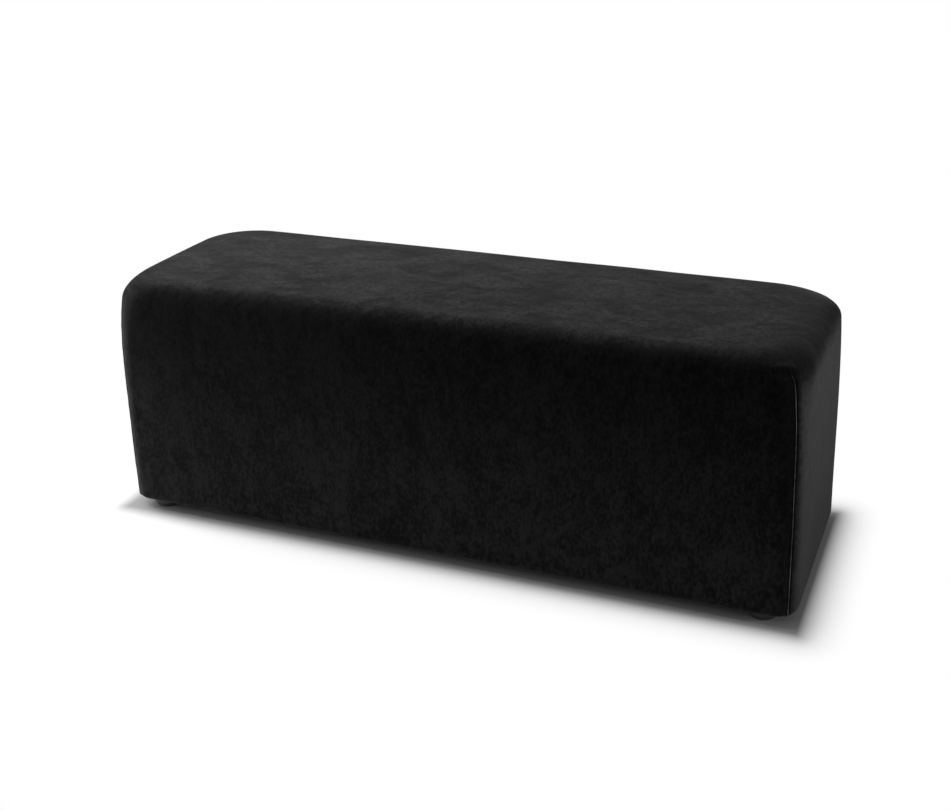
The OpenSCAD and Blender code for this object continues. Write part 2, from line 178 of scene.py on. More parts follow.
def ring(ax, ay, radius, swell, layout):
    found = []
    for turn in range(4):
        lx, ly = (ax, ay) if turn % 2 == 0 else (ay, ax)
        angles, u = layout["angles"], layout["sides"][turn % 2]
        x = np.concatenate((lx - radius + radius * np.cos(angles), u * (lx - radius)))
        bulge = swell * (1 - u ** softForm["swellPowers"][0])
        y = np.concatenate((ly - radius + radius * np.sin(angles), ly + bulge))
        for _ in range(turn):
            x, y = -y, x
        found.append(np.column_stack((x, y)))
    points = np.vstack(found)
    return np.roll(points, len(layout["sides"][1]) // 2 + 1, axis=0)  # begins in the middle of the right end


def seatFall(points):
    lengthways, across = softForm["crownPowers"]
    level = (1 - np.abs(points[:, 0] / halfL) ** lengthways) * (1 - np.abs(points[:, 1] / halfD) ** across)
    return softForm["crown"] * (1 - level)


def lifted(points, z, share=0.0):
    return np.column_stack((points, z - share * seatFall(points)))


def lowerRing(depth, angle, layout):
    r = softForm["lowerEdge"] - depth
    inset = softForm["sideIn"] + softForm["lowerEdge"] - r * math.cos(angle)
    around = softForm["corner"] - softForm["lowerEdge"] + r * math.cos(angle)
    return lifted(ring(halfL - inset, halfD - inset, around, 0, layout), sideZ - r * math.sin(angle))


def sideRing(depth, z, layout, swell=0.0):
    inset = softForm["sideIn"] + depth
    level = 2 * (z - sideZ) / (edgeZ - sideZ) - 1
    swell *= 1 - abs(level) ** softForm["swellPowers"][1]
    return lifted(ring(halfL - inset, halfD - inset, cornerAt(z) - depth, swell, layout), z)


def edgeRing(depth, angle, layout):
    r = softForm["seatEdge"] - depth
    inset = softForm["sideIn"] + softForm["seatEdge"] - r * math.cos(angle)
    around = cornerAt(edgeZ + softForm["seatEdge"] * math.sin(angle)) - depth * math.cos(angle)
    return lifted(ring(halfL - inset, halfD - inset, around, 0, layout),
                  edgeZ + r * math.sin(angle), math.sin(angle) ** 2)


def seatRing(depth, share, layout):
    inset = softForm["sideIn"] + softForm["seatEdge"]
    ay = (halfD - inset) * (1 - share)
    ax = (halfL - inset) * (1 - share) + (halfL - halfD) * share
    atRim, loss = softForm["seatRound"]
    around = min(softForm["seatCorner"] * (1 - share), (atRim - loss * share) * ay)
    return lifted(ring(ax, ay, around, 0, layout), seatTop - depth, 1)


def formRows(depth, levels, layout, swell=0.0):
    # rings of the form from its lower edge to the middle of the seat, depth below its outside
    return ([lowerRing(depth, math.radians(a), layout) for a in levels["lower"]]
            + [sideRing(depth, z, layout, swell) for z in levels["side"]]
            + [edgeRing(depth, math.radians(a), layout) for a in levels["edge"]]
            + [seatRing(depth, share, layout) for share in levels["seat"]])


def lofted(name, rows, closeFirst=False, closeLast=False):
    # a mesh through rings of equally many points, with a flat cap where it is closed
    count, last = len(rows[0]), len(rows) - 1
    faces = []
    for k in range(last):
        low, high = k * count, (k + 1) * count
        faces += [(low + i, low + (i + 1) % count, high + (i + 1) % count, high + i) for i in range(count)]
    if closeFirst:
        faces.append(tuple(range(count))[::-1])
    if closeLast:
        faces.append(tuple(range(last * count, (last + 1) * count)))
    mesh = bpy.data.meshes.new(name)
    mesh.from_pydata([tuple(p) for p in np.vstack(rows)], [], faces)
    mesh.shade_smooth()
    return mesh


def linked(name, mesh, finish):
    piece = bpy.data.objects.new(name, mesh)
    bpy.context.scene.collection.objects.link(piece)
    mesh.materials.append(finish)
    return piece


def pointsOf(mesh):
    return np.array([v.co for v in mesh.vertices]), np.array([v.normal for v in mesh.vertices])


def moveOut(mesh, out):
    # moves each point of a mesh outwards by its own distance
    points, normals = pointsOf(mesh)
    mesh.vertices.foreach_set("co", (points + normals * out[:, None]).astype(np.float32).ravel())
    mesh.update()


# The stuffing's swell: a coarse cover is blown up as cloth, held at its corners and edges
pressed = {
    "layout": (6, 60, 20),  # steps of a ring at a corner, a long side and an end
    "levels": {"lower": [90, 60, 30], "side": np.linspace(sideZ, edgeZ, 30),
               "edge": [15, 30, 45, 60, 75, 90], "seat": [0.2, 0.4, 0.6, 0.8, 0.9]},
    "voxel": 10 * mm,
    "stretch": 15, "bend": 2,  # the cloth's stiffness
    "pressure": 0.6,
    "frames": 20,
    "mostSide": 3.2 * mm,  # how far the sides may stand out of the form
    "mostSeat": 1.2 * mm,  # the same for the seat
    "heldCorner": 24 * mm,  # how near an upright corner the cloth is held
    "heldLow": 16 * mm,  # how far above the underside the cloth is held
    "seatEase": 140 * mm,  # how far in from the sides the seat's swell is full
    "neighbours": 8, "leastWeight": 1e-9,  # how the swell is averaged
}


def swellOfCloth():
    rows = formRows(0, pressed["levels"], ringLayout(*pressed["layout"]))
    blown = linked("clothTrial", lofted("clothTrial", rows, True, True), velvet)
    remesh = blown.modifiers.new("even", "REMESH")
    remesh.mode, remesh.voxel_size = "VOXEL", pressed["voxel"]
    bpy.context.view_layer.objects.active = blown
    bpy.ops.object.modifier_apply(modifier="even")
    start, normals = pointsOf(blown.data)
    fromSides = np.minimum(halfL - np.abs(start[:, 0]), halfD - np.abs(start[:, 1]))
    fromCorner = np.maximum(halfL - np.abs(start[:, 0]), halfD - np.abs(start[:, 1]))
    nearCorner = fromCorner < pressed["heldCorner"]
    onEdge = (start[:, 2] > edgeZ) & (fromSides < softForm["seatEdge"])
    held = nearCorner | onEdge | (start[:, 2] < underside + pressed["heldLow"])
    group = blown.vertex_groups.new(name="held")
    group.add(np.flatnonzero(held).tolist(), 1.0, "REPLACE")
    cloth = blown.modifiers.new("cloth", "CLOTH")
    cloth.settings.use_pressure = True
    cloth.settings.uniform_pressure_force = pressed["pressure"]
    cloth.settings.effector_weights.gravity = 0
    cloth.settings.vertex_group_mass = "held"
    cloth.settings.tension_stiffness = cloth.settings.compression_stiffness = pressed["stretch"]
    cloth.settings.bending_stiffness = pressed["bend"]
    cloth.point_cache.frame_end = pressed["frames"]
    for step in range(1, pressed["frames"] + 1):
        bpy.context.scene.frame_set(step)
    shown = blown.evaluated_get(bpy.context.evaluated_depsgraph_get())
    moved = np.array([v.co for v in shown.data.vertices])
    bpy.context.scene.frame_set(1)
    outward = ((moved - start) * normals).sum(1)
    print("cloth:", len(start), "points, swell", np.percentile(outward, (1, 50, 99)).round(4))
    bpy.data.objects.remove(blown)
    return start, outward


def swellAt(points, start, outward):
    # the trial cloth's swell at other points, averaged over their nearest neighbours
    tree = KDTree(len(start))
    for i, place in enumerate(start):
        tree.insert(place, i)
    tree.balance()
    found = np.zeros(len(points))
    for i, place in enumerate(points):
        near = tree.find_n(place, pressed["neighbours"])
        weights = [math.exp(-(distance / pressed["voxel"]) ** 2) + pressed["leastWeight"]
                   for _, _, distance in near]
        found[i] = sum(w * outward[j] for w, (_, j, _) in zip(weights, near)) / sum(weights)
    return found


# Finishes
velvetLook = {
    "pile": (0.0031, 0.0031, 0.0032), "crushed": (0.0119, 0.0119, 0.0124),
    # painted light from the floor: the pile is paler low down and darker at the seat's height
    "paintedLightLow": 1.55, "paintedLightHigh": 0.45,  # the pile's tone at the floor and at the seat's height
    # the seat's painted sheen: how much paler it is, how high that begins, and where it fades out before the
    # right end, leaving painted shade along the seat's right rim
    "paintedLightSeat": 3.4, "seatBlend": 16 * mm, "seatEndFrom": 95 * mm, "seatEndTo": 20 * mm,
    # streaks in the seat's painted sheen: their size, how they are drawn out, and how much they change it
    "strokes": 52 * mm, "strokeGrain": (0.55, 1, 1), "strokeEdges": (0.36, 0.64), "strokeRange": (0.3, 1.8),
    # the ends' painted light: how pale, up to which height, over which way past the seams, its share low
    # down and high up, how much of that at the left end, and how much evener the pile lies there
    "paintedLightEnd": 5.0, "endBlend": (0.385, 0.435), "endStart": (-2 * mm, 24 * mm),
    "endLow": 0.78, "endHigh": 1.2, "leftEnd": 0.22, "middle": 0.1, "endCalm": 0.8,
    # a painted highlight on the seams' rolled edge, and painted shade where the front darkens before the
    # right seam
    "seamHighlight": 11.0, "seamHighlightFrom": -4.4 * mm, "seamHighlightTo": -1.0 * mm, "seamHighlightBlend": 1 * mm,
    "seamShadeFrom": 40 * mm, "seamShadeTo": 18 * mm, "seamShade": 0.5,
    # sizes of the pile's pattern, how it is drawn out, its depths and its shares in the tone
    "clouds": 110 * mm, "patches": 42 * mm, "grain": 12 * mm, "fibres": 5 * mm,
    "hanging": (1, 1, 0.55), "lying": (1, 0.6, 0.55),
    "depths": (5.5 * mm, 1.8 * mm, 0.55 * mm, 0.32 * mm),
    "shares": (0.15, 0.13, 0.27, 0.45), "napEdges": (0.4, 0.6),
    "roughness": 0.9, "sheen": 0.105, "sheenRoughness": 0.5, "sheenTint": (0.98, 0.98, 1.0, 1),
}


def makeVelvet():
    look = velvetLook
    material, start, place = newFinish("velvetFinish")
    hanging = stretched(place, *look["hanging"])  # the pile hangs a little on the sides
    clouds = speckle(place, look["clouds"], warp=0.5)
    patches = speckle(hanging, look["patches"], warp=0.4)
    grain = speckle(hanging, look["grain"], rough=0.6)
    fibres = speckle(stretched(place, *look["lying"]), look["fibres"], rough=0.6)
    strokes = speckle(stretched(place, *look["strokeGrain"]), look["strokes"], detail=3, rough=0.6, warp=0.6)
    pattern = (clouds, patches, grain, fibres)
    nap = ramped(blended(pattern, look["shares"]), *look["napEdges"])
    along, depth, height = (place.node("SeparateXYZ", {}, {"Vector": place}, axis) for axis in "XYZ")

    # painted light from the floor: paler low down, darker high up
    paintedLight = ramped(height, 0, seatTop, look["paintedLightLow"], look["paintedLightHigh"])
    # painted sheen on the seat, with streaks in it, fading out before the right end into painted shade along
    # its right rim
    paintedSeatSheen = ramped(height, seatTop - look["seatBlend"], seatTop, 0, look["paintedLightSeat"] - 1)
    paintedSeatSheen = paintedSeatSheen * ramped(along, halfL - look["seatEndFrom"], halfL - look["seatEndTo"], 1, 0)
    paintedLight = paintedLight * (1 + paintedSeatSheen * ramped(strokes, *look["strokeEdges"], *look["strokeRange"]))

    belowSeat = ramped(height, *look["endBlend"], 1, 0)
    # painted shade on the front before the right seam
    beforeSeam = ramped(along, halfL - look["seamShadeFrom"], halfL - look["seamShadeTo"])
    paintedLight = paintedLight * (1 - belowSeat * beforeSeam * (1 - look["seamShade"]))
    pastSeams = sizeOf(along) - sizeOf(depth) - (halfL - halfD)  # above 0 on the ends
    # painted light on the ends: paler towards the right end and higher up, weaker at the left end
    onEnd = belowSeat * ramped(pastSeams, *look["endStart"])
    towardsRight = ramped(along, -look["middle"] * halfL, look["middle"] * halfL, look["leftEnd"], 1)
    endTone = towardsRight * look["paintedLightEnd"] * ramped(height, 0, edgeZ, look["endLow"], look["endHigh"])
    paintedLight = paintedLight * (1 - onEnd) + onEnd * endTone
    nap = nap + (0.5 - nap) * onEnd * look["endCalm"]
    # a painted highlight along the seams' rolled edge
    onRoll = (ramped(pastSeams, look["seamHighlightFrom"], look["seamHighlightFrom"] + look["seamHighlightBlend"])
              * ramped(pastSeams, look["seamHighlightTo"] - look["seamHighlightBlend"], look["seamHighlightTo"], 1, 0))
    paintedLight = paintedLight + belowSeat * onRoll * towardsRight * look["seamHighlight"]

    tone = mixed(nap, look["pile"], look["crushed"])
    # the pile's own tone scaled by its painted light and shade
    tone = tone.node("VectorMath", {"operation": "SCALE"}, {0: tone, "Scale": paintedLight})
    return finished(material, start, {
        "Base Color": tone,
        "Roughness": look["roughness"],
        "Specular IOR Level": 0.0,
        "Sheen Weight": look["sheen"],
        "Sheen Roughness": look["sheenRoughness"],
        "Sheen Tint": look["sheenTint"],
        "Normal": bumped(blended(pattern, look["depths"]), 1.0),
    })


waddingLook = {"dark": (0.72, 0.72, 0.70), "pale": (0.88, 0.88, 0.87), "size": 9 * mm,
               "grain": (1, 3, 3), "depth": 1.5 * mm, "roughness": 0.95, "gloss": 0.1}


def makeWadding():
    look = waddingLook
    material, start, place = newFinish("waddingFinish")
    fibres = speckle(stretched(place, *look["grain"]), look["size"], detail=5, rough=0.7, warp=1.5)
    return finished(material, start, {
        "Base Color": mixed(fibres, look["dark"], look["pale"]),
        "Roughness": look["roughness"], "Specular IOR Level": look["gloss"],
        "Normal": bumped(fibres, look["depth"]),
    })


foamLook = {"dark": (0.82, 0.76, 0.56), "pale": (0.88, 0.84, 0.68), "patches": 60 * mm,
            "cells": 1.6 * mm, "depth": 0.5 * mm, "roughness": 0.95, "gloss": 0.1}


def makeFoam():
    look = foamLook
    material, start, place = newFinish("foamFinish")
    cells = place.node("TexVoronoi", {}, {"Vector": place, "Scale": 1 / look["cells"]})
    patches = speckle(place, look["patches"], detail=3)
    return finished(material, start, {
        "Base Color": mixed(patches, look["dark"], look["pale"]),
        "Roughness": look["roughness"], "Specular IOR Level": look["gloss"],
        "Normal": bumped(cells, look["depth"]),
    })


dustClothLook = {"dark": (0.012, 0.012, 0.013), "pale": (0.030, 0.030, 0.032), "fibres": 2.5 * mm,
                 "dots": 1.8 * mm, "uneven": 0.15, "dotEdges": (0.15, 0.4), "fibreShare": 0.6,
                 "depth": 0.25 * mm, "roughness": 0.8, "gloss": 0.25}


def makeDustCloth():
    look = dustClothLook
    material, start, place = newFinish("dustClothFinish")
    fibres = speckle(stretched(place, 1, 1, 0), look["fibres"], detail=4, rough=0.7, warp=1.0)
    dots = place.node("TexVoronoi", {"feature": "F1"}, {
        "Vector": place, "Scale": 1 / look["dots"], "Randomness": look["uneven"]})
    height = fibres * look["fibreShare"] + ramped(dots, *look["dotEdges"])
    return finished(material, start, {
        "Base Color": mixed(fibres, look["dark"], look["pale"]),
        "Roughness": look["roughness"], "Specular IOR Level": look["gloss"],
        "Normal": bumped(height, look["depth"]),
    })


footLook = {"dark": (0.010, 0.010, 0.010), "pale": (0.018, 0.018, 0.018), "grain": 0.9 * mm,
            "scuffs": 14 * mm, "scuffGrain": (1, 1, 0.3), "scuffEdges": (0.3, 0.7),
            "roughness": (0.38, 0.55), "depth": 0.12 * mm, "relief": 0.5}


def makeFootPlastic():
    look = footLook
    material, start, place = newFinish("footFinish")
    grain = speckle(place, look["grain"], rough=0.6)
    scuffs = speckle(stretched(place, *look["scuffGrain"]), look["scuffs"], detail=4, rough=0.65)
    return finished(material, start, {
        "Base Color": mixed(scuffs, look["dark"], look["pale"]),
        "Roughness": ramped(scuffs, *look["scuffEdges"], *look["roughness"]),
        "Normal": bumped(grain, look["depth"], look["relief"]),
    })


woodLook = {
    "plywoodFinish": {"pale": (0.66, 0.47, 0.27), "dark": (0.50, 0.31, 0.15),
                      "rings": 35 * mm, "figure": 30 * mm},
    "pineFinish": {"pale": (0.76, 0.56, 0.33), "dark": (0.58, 0.36, 0.17),
                   "rings": 12 * mm, "figure": 20 * mm},
    "along": (0.08, 1, 1), "fibreAlong": (0.04, 1, 1), "fibres": 0.8 * mm,
    "bend": 6, "bendDetail": 3, "bendScale": 1.2,  # how the rings bend
    "shares": (0.45, 0.35, 0.2), "toneEdges": (0.25, 0.75),
    "fibreEdges": (0.2, 0.8), "roughness": (0.55, 0.75), "depth": 0.15 * mm, "relief": 0.6,
}


def makeWood(name):
    look = dict(woodLook, **woodLook[name])
    material, start, place = newFinish(name)
    along = stretched(place, *look["along"])
    figure = speckle(along, look["figure"], detail=4, rough=0.6, warp=1.2)
    bands = place.node("TexWave", {"wave_type": "BANDS", "bands_direction": "DIAGONAL"}, {
        "Vector": along, "Scale": 1 / look["rings"], "Distortion": look["bend"],
        "Detail": look["bendDetail"], "Detail Scale": look["bendScale"]})
    fibres = speckle(stretched(place, *look["fibreAlong"]), look["fibres"], detail=3, rough=0.7)
    tone = blended((bands, figure, fibres), look["shares"])
    return finished(material, start, {
        "Base Color": mixed(ramped(tone, *look["toneEdges"]), look["pale"], look["dark"]),
        "Roughness": ramped(fibres, *look["fibreEdges"], *look["roughness"]),
        "Normal": bumped(fibres, look["depth"], look["relief"]),
    })


metalLook = {
    "zincFinish": {"tone": (0.72, 0.62, 0.36), "second": (0.60, 0.55, 0.40), "roughness": 0.32},
    "stapleFinish": {"tone": (0.62, 0.63, 0.65), "second": (0.50, 0.51, 0.53), "roughness": 0.35},
    "rougher": 0.15, "streaks": 1.5 * mm, "grain": (1, 1, 0.3), "edges": (0.2, 0.8),
    "depth": 0.03 * mm, "relief": 0.4,
}


def makeMetal(name):
    look = dict(metalLook, **metalLook[name])
    material, start, place = newFinish(name)
    streaks = speckle(stretched(place, *look["grain"]), look["streaks"], detail=3, rough=0.6)
    least = look["roughness"]
    return finished(material, start, {
        "Base Color": mixed(streaks, look["tone"], look["second"]), "Metallic": 1.0,
        "Roughness": ramped(streaks, *look["edges"], least, least + look["rougher"]),
        "Normal": bumped(streaks, look["depth"], look["relief"]),
    })


velvet = makeVelvet()
waddingFinish = makeWadding()
foamFinish = makeFoam()
dustClothFinish = makeDustCloth()
footPlastic = makeFootPlastic()
plywood, pine = makeWood("plywoodFinish"), makeWood("pineFinish")
zinc, steel = makeMetal("zincFinish"), makeMetal("stapleFinish")
print("finishes made")

for name, piece in nodes.items():
    if name.endswith("_foot"):
        finish = footPlastic
    elif name.endswith("_screws"):
        finish = zinc
    elif name.endswith("_staples"):
        finish = steel
    elif name.endswith(("_panel", "_board", "_rib")):
        finish = plywood
    else:
        finish = pine
    piece.data.materials.clear()
    piece.data.materials.append(finish)


# The velvet cover
cover = {
    "layout": (40, 72, 26, 1.6),
    "levels": {  # degrees round the edges, heights on the sides, and shares of the way in on the seat
        "lower": [90, 70, 50, 35, 20, 10],
        # closer together high up, where the seams end
        "side": np.concatenate((np.linspace(sideZ, 380 * mm, 56), np.arange(384 * mm, edgeZ, 4.5 * mm))),
        "edge": np.arange(3.75, 91, 3.75),
        "seat": np.linspace(0, 0.9, 22)[1:],
    },
    "hem": (0, 0.3, 0.6, 0.85),  # the rings under the frame, from the hem's edge to the fold
    "seamTop": 427 * mm,  # how high the corner seams end
    "seamFade": 8 * mm,  # over which length they fade out
    "groove": 1.1 * mm, "grooveWidth": 1.2 * mm,
    # the rolled edge, which is lower on the ends: there the long sides' velvet laps over
    "roll": 1.0 * mm, "rollAt": 3.0 * mm, "rollWidth": 1.8 * mm, "rollOnEnds": 0.1, "rollUneven": 0.5,
    # how the stitches pull the velvet in, mostly on the ends
    "pull": 1.1 * mm, "pullReach": 9 * mm, "pullOnLong": 0.3,
    "pullSize": 16 * mm, "pullTurns": 40,  # its pattern upwards, and round the corner per metre
    # the crease at each seam's upper end; the photograph's rear corner is smooth, so it is smaller there
    "tuck": 2.4 * mm, "tuckHeight": 4.5 * mm, "tuckRise": 0.1, "tuckLong": 45 * mm, "tuckShort": 12 * mm,
    "tuckFull": 0.2, "tuckRear": 0.2,
    "wobble": 0.7 * mm, "wobbleSize": 160 * mm, "wobbleStart": 3.0,
    "wobbleFrom": 5 * mm, "wobbleFull": 60 * mm,  # how high above the underside it begins and is full
}


def seamDistances(rows, layout):
    # for each point of each ring, how far along the ring the nearest corner seam is, and on which side
    count = len(rows[0])
    perCorner = len(layout["angles"])
    longSteps, endSteps = (len(side) for side in layout["sides"])
    first = endSteps // 2 + 1 + perCorner // 2
    seams = np.cumsum([first, perCorner + longSteps, perCorner + endSteps, perCorner + longSteps])
    found = np.zeros((len(rows), count))
    for k, points in enumerate(rows):
        steps = np.linalg.norm(np.roll(points, -1, axis=0) - points, axis=1)
        along = np.concatenate(([0], np.cumsum(steps)))
        around = along[-1]
        best = np.full(count, around)
        for s, spot in enumerate(seams):
            offset = along[:-1] - along[spot % count]
            offset = (offset + around / 2) % around - around / 2
            offset *= 1 if s % 2 == 0 else -1  # above 0 on the long sides
            nearer = np.abs(offset) < np.abs(best)
            best[nearer] = offset[nearer]
        found[k] = best
    return found


def smooth(value, low, high):
    t = np.clip((value - low) / (high - low), 0, 1)
    return t * t * (3 - 2 * t)


def sewnShape(points, distance, above):
    # how far the velvet stands out or in because of the corner seams; above is how far past the
    # seam's upper end a point lies, along the cover
    present = 1 - smooth(above, -cover["seamFade"], 0)
    turns = cover["pullTurns"]
    places = [Vector((p[0] * turns, p[1] * turns, p[2] / cover["pullSize"])) for p in points]
    pucker = np.array([noise.noise(place) for place in places])
    away = np.abs(distance)
    groove = -cover["groove"] * np.exp(-(away / cover["grooveWidth"]) ** 2)
    onLong = distance > 0
    roll = cover["roll"] * np.exp(-((away - cover["rollAt"]) / cover["rollWidth"]) ** 2)
    roll *= np.where(onLong, 1.0, cover["rollOnEnds"]) * (1 + cover["rollUneven"] * pucker)
    pulled = cover["pull"] * pucker * np.exp(-away / cover["pullReach"])
    pulled *= np.where(onLong, cover["pullOnLong"], 1.0)
    reach = np.where(onLong, cover["tuckLong"], cover["tuckShort"])
    lift = (above - cover["tuckRise"] * away) / cover["tuckHeight"]
    tuck = cover["tuck"] * lift * np.exp(0.5 - 0.5 * lift ** 2)  # full where lift is 1, a dip where it is -1
    tuck *= 1 - smooth(away, cover["tuckFull"] * reach, reach)
    tuck *= np.where(points[:, 1] < 0, 1, cover["tuckRear"])
    return present * (groove + roll + pulled) + tuck


def pastSeam(rows, layout):
    # how far each ring lies above the seams' upper end, measured along the cover
    longSteps, endSteps = (len(side) for side in layout["sides"])
    middle = endSteps // 2 + 1 + len(layout["angles"]) + longSteps // 2  # of the rear side
    track = np.array([row[middle] for row in rows])
    climb = np.concatenate(([0], np.cumsum(np.linalg.norm(np.diff(track, axis=0), axis=1))))
    return climb - np.interp(cover["seamTop"], track[:, 2], climb)


def wobbled(points):
    size, start = cover["wobbleSize"], Vector((cover["wobbleStart"], 0, 0))
    wave = cover["wobble"] * np.array([noise.noise(Vector(p) / size + start) for p in points])
    return wave * smooth(points[:, 2], underside + cover["wobbleFrom"], underside + cover["wobbleFull"])


def hemRings(layout):
    # the velvet turned under the frame, from the hem's edge out to the fold
    lap = softForm["hemLap"]
    hem = (frameL - lap, frameD - lap, softForm["frameCorner"] - lap)
    inset = softForm["sideIn"] + softForm["lowerEdge"]
    fold = (halfL - inset, halfD - inset, softForm["corner"] - softForm["lowerEdge"])
    return [lifted(ring(*(a + share * (b - a) for a, b in zip(hem, fold)), 0, layout), underside)
            for share in cover["hem"]]


def swollen(points):
    # the trial cloth's swell, kept under the most that is right for the sides and for the seat
    top = smooth(points[:, 2], edgeZ, seatTop)
    most = pressed["mostSide"] + (pressed["mostSeat"] - pressed["mostSide"]) * top
    fromSides = np.minimum(halfL - np.abs(points[:, 0]), halfD - np.abs(points[:, 1]))
    eased = 1 - top * (1 - smooth(fromSides, softForm["seatEdge"], pressed["seatEase"]))
    return eased * most * np.tanh(np.maximum(swellAt(points, *swellOfCloth()), 0) / most)


def makeCover():
    layout = ringLayout(*cover["layout"])
    # the form is built without swell here; the trial cloth gives the sides theirs
    rows = formRows(0, cover["levels"], layout, 0)
    distance = seamDistances(rows, layout)
    under = hemRings(layout)
    rows = under + rows
    above = np.repeat(pastSeam(rows, layout), len(rows[0]))
    distance = np.vstack([np.ones((len(under), distance.shape[1])), distance])  # no seam on the hem
    mesh = lofted("velvetCover", rows, closeLast=True)
    points = pointsOf(mesh)[0]
    out = wobbled(points)
    out += swollen(points)
    out += sewnShape(points, distance.ravel(), above)
    moveOut(mesh, out)
    piece = linked("velvetCover", mesh, velvet)
    thick = piece.modifiers.new("thickness", "SOLIDIFY")
    thick.thickness, thick.offset = coverT, -1
    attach(piece, "root")
    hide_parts("velvet_cover")
    corner = seatTop - underside + softForm["hemLap"]  # what hangs down, and so is cut away at the corners
    cutL, cutW = 2 * (halfL + corner), 2 * (halfD + corner)
    cutW * cutL - 4 * corner ** 2
    return piece


velvetCover = makeCover()
print("velvet cover made with", len(velvetCover.data.vertices), "points")


# Wadding and foam
def padOf(name, node, mesh, finish):
    piece = linked(name, mesh, finish)
    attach(piece, "root")
    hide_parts(node)
    return piece


pads = {
    "layout": (10, 40, 14),
    "levels": {"lower": [], "side": np.linspace(sideZ, edgeZ, 16), "edge": [15, 30, 45, 60, 75, 90],
               "seat": [0.15, 0.3, 0.45, 0.6, 0.75, 0.88, 0.95]},
    "foamLevels": (14, 6),  # how many levels the side foams have outside and on the frame
    "trim": 1.5 * mm, "trimAngle": 50, "trimSteps": 2,  # bevel of the foam's cut edges
    "dent": 2.8 * mm, "dentWidth": 4 * mm, "dentFade": 5 * mm,  # how the corner seams press into the wadding
    "waddingFill": 0.5, "foamFill": 0.9,
}


def pressIn(mesh, distance):
    # the corner seams' grooves in the wadding
    fade = pads["dentFade"]
    below = 1 - smooth(pointsOf(mesh)[0][:, 2], cover["seamTop"] - fade, cover["seamTop"] + fade)
    moveOut(mesh, -pads["dent"] * below * np.exp(-(distance / pads["dentWidth"]) ** 2))


def waddingSheet(layout):
    # an outer and an inner skin, joined at the sheet's lower edge
    swell = softForm["sideIn"]
    outer = formRows(waddingDepth, pads["levels"], layout, swell)
    inner = formRows(foamDepth - layerGap, pads["levels"], layout, swell)
    outside = lofted("wadding", outer, closeLast=True)
    pressIn(outside, seamDistances(outer, layout).ravel())
    inside = lofted("waddingInside", inner, closeLast=True)
    work = bmesh.new()
    work.from_mesh(inside)
    bmesh.ops.reverse_faces(work, faces=work.faces)
    work.from_mesh(outside)
    work.verts.ensure_lookup_table()
    count, second = len(outer[0]), len(inside.vertices)
    for i in range(count):
        j = (i + 1) % count
        work.faces.new([work.verts[p] for p in (i, j, second + j, second + i)])
    for face in work.faces:
        face.smooth = True
    mesh = bpy.data.meshes.new("waddingSheet")
    work.to_mesh(mesh)
    work.free()
    return mesh


def makePads():
    layout = ringLayout(*pads["layout"])
    padOf("waddingSheet", "wadding", waddingSheet(layout), waddingFinish)
    topLevels = dict(pads["levels"], side=[frameTop, (frameTop + edgeZ) / 2, edgeZ])
    mesh = lofted("seatFoam", formRows(foamDepth, topLevels, layout), True, True)
    padOf("seatFoam", "seat_foam", mesh, foamFinish)

    corner, long, end = pads["layout"]
    count = 4 * corner + 2 * long + 2 * end
    toLong = end // 2  # from the middle of the right end to where the rear sheet begins
    sheets = (("rearFoam", "rear_foam", toLong, toLong + 2 * corner + long),
              ("leftEndFoam", "left_end_foam", count // 2 - toLong, count // 2 + toLong),
              ("frontFoam", "front_foam", count // 2 + toLong, count - toLong),
              ("rightEndFoam", "right_end_foam", count - toLong, count + toLong))
    for name, node, first, last in sheets:
        piece = padOf(name, node, sideFoam(name, first, last, layout), foamFinish)
        bevel = piece.modifiers.new("cutEdges", "BEVEL")
        bevel.width, bevel.segments = pads["trim"], pads["trimSteps"]
        bevel.limit_method, bevel.angle_limit = "ANGLE", math.radians(pads["trimAngle"])


def sideFoam(name, first, last, layout):
    # a sheet of foam glued flat on the frame: upright sections run along it from one end to the other
    outer, inner = (np.linspace(sideZ, frameTop, count) for count in pads["foamLevels"])
    outside = [sideRing(foamDepth, z, layout, softForm["sideIn"]) for z in outer]
    inside = ring(frameL, frameD, softForm["frameCorner"], 0, layout)
    count = len(inside)
    sections = []
    for i in range(first, last + 1):
        x, y = inside[i % count]
        sections.append(np.array([row[i % count] for row in outside[::-1]] + [(x, y, z) for z in inner]))
    return lofted(name, sections, True, True)


makePads()
print("wadding and foam made")


# The dust cloth under the bench, stapled round its edge, sagging a little between the rails
dust = {
    "cells": (96, 30),
    "sag": 2.2 * mm, "sagEven": 0.7, "sagWaves": (9, 14),
    # over which lengths the cloth comes free of its edges
    "heldX": (30 * mm, 110 * mm), "heldY": (22 * mm, 90 * mm),
}


def makeDustClothSheet():
    low, high = (np.array(corner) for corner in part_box("dust_cloth"))
    xs, ys = (np.linspace(low[i], high[i], dust["cells"][i] + 1) for i in (0, 1))
    x, y = np.meshgrid(xs, ys, indexing="ij")
    free = smooth(high[0] - np.abs(x), *dust["heldX"]) * smooth(high[1] - np.abs(y), *dust["heldY"])
    waveX, waveY = dust["sagWaves"]
    even = dust["sagEven"]
    z = low[2] - dust["sag"] * free * (even + (1 - even) * np.cos(x * waveX) * np.cos(y * waveY))
    verts = np.column_stack((x.ravel(), y.ravel(), z.ravel()))
    across = len(ys)
    faces = [(i * across + j, i * across + j + 1, (i + 1) * across + j + 1, (i + 1) * across + j)
             for i in range(len(xs) - 1) for j in range(across - 1)]
    mesh = bpy.data.meshes.new("dustClothSheet")
    mesh.from_pydata([tuple(v) for v in verts], [], faces)
    mesh.shade_smooth()
    piece = linked("dustClothSheet", mesh, dustClothFinish)
    thick = piece.modifiers.new("thickness", "SOLIDIFY")
    thick.thickness, thick.offset = high[2] - low[2], -1
    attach(piece, "root")
    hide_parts("dust_cloth")


makeDustClothSheet()
print("dust cloth made")


